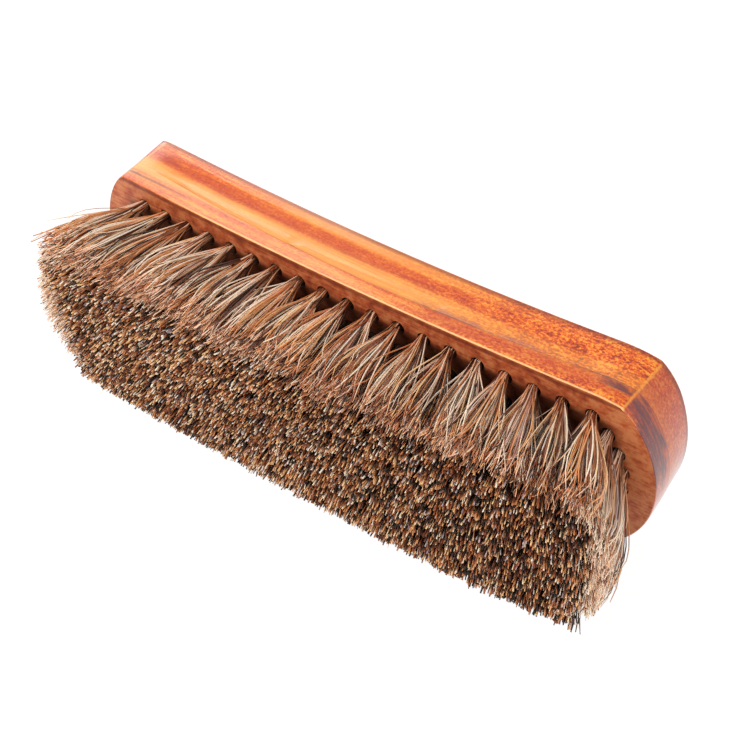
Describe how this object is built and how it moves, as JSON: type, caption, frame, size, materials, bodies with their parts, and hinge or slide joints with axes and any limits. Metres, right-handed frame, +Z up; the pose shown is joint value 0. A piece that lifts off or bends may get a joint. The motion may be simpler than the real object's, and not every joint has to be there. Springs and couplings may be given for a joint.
{
  "type": "horsehair brush",
  "caption": "Waisted hardwood brush block with finger grooves and rounded ends, filled with fanned tufts of mixed brown horsehair.",
  "frame": {"origin": "middle of the underside of the brush as it lies on its long side, at the bounding box bottom centre", "axes": "+X along the brush, +Y from the bristle tips towards the back of the block, +Z up across the width of the block"},
  "size_m": [0.2064, 0.0598, 0.0583],
  "materials": {
    "wood": "orange-brown lacquer, glossy",
    "horsehair": "natural mixed hair, soft sheen",
    "anchor_wire": "plain flat wire"
  },
  "bodies": {
    "root": {"handle_block": "wood", "near_tuft_01": "horsehair", "near_tuft_02": "horsehair", "near_tuft_03": "horsehair", "near_tuft_04": "horsehair", "near_tuft_05": "horsehair", "near_tuft_06": "horsehair", "near_tuft_07": "horsehair", "near_tuft_08": "horsehair", "near_tuft_09": "horsehair", "near_tuft_10": "horsehair", "near_tuft_11": "horsehair", "near_tuft_12": "horsehair", "near_tuft_13": "horsehair", "near_tuft_14": "horsehair", "near_tuft_15": "horsehair", "near_tuft_16": "horsehair", "near_tuft_17": "horsehair", "near_tuft_18": "horsehair", "near_tuft_19": "horsehair", "left_end_tuft_1": "horsehair", "left_end_tuft_2": "horsehair", "left_end_tuft_3": "horsehair", "left_end_tuft_4": "horsehair", "left_end_tuft_5": "horsehair", "left_end_tuft_6": "horsehair", "right_end_tuft_1": "horsehair", "right_end_tuft_2": "horsehair", "right_end_tuft_3": "horsehair", "right_end_tuft_4": "horsehair", "right_end_tuft_5": "horsehair", "right_end_tuft_6": "horsehair", "bristle_slice_1": "horsehair", "bristle_slice_2": "horsehair", "bristle_slice_3": "horsehair", "bristle_slice_4": "horsehair", "bristle_slice_5": "horsehair", "near_anchor_01": "anchor_wire", "near_anchor_02": "anchor_wire", "near_anchor_03": "anchor_wire", "near_anchor_04": "anchor_wire", "near_anchor_05": "anchor_wire", "near_anchor_06": "anchor_wire", "near_anchor_07": "anchor_wire", "near_anchor_08": "anchor_wire", "near_anchor_09": "anchor_wire", "near_anchor_10": "anchor_wire", "near_anchor_11": "anchor_wire", "near_anchor_12": "anchor_wire", "near_anchor_13": "anchor_wire", "near_anchor_14": "anchor_wire", "near_anchor_15": "anchor_wire", "near_anchor_16": "anchor_wire", "near_anchor_17": "anchor_wire", "near_anchor_18": "anchor_wire", "near_anchor_19": "anchor_wire"}
  },
  "joints": []
}
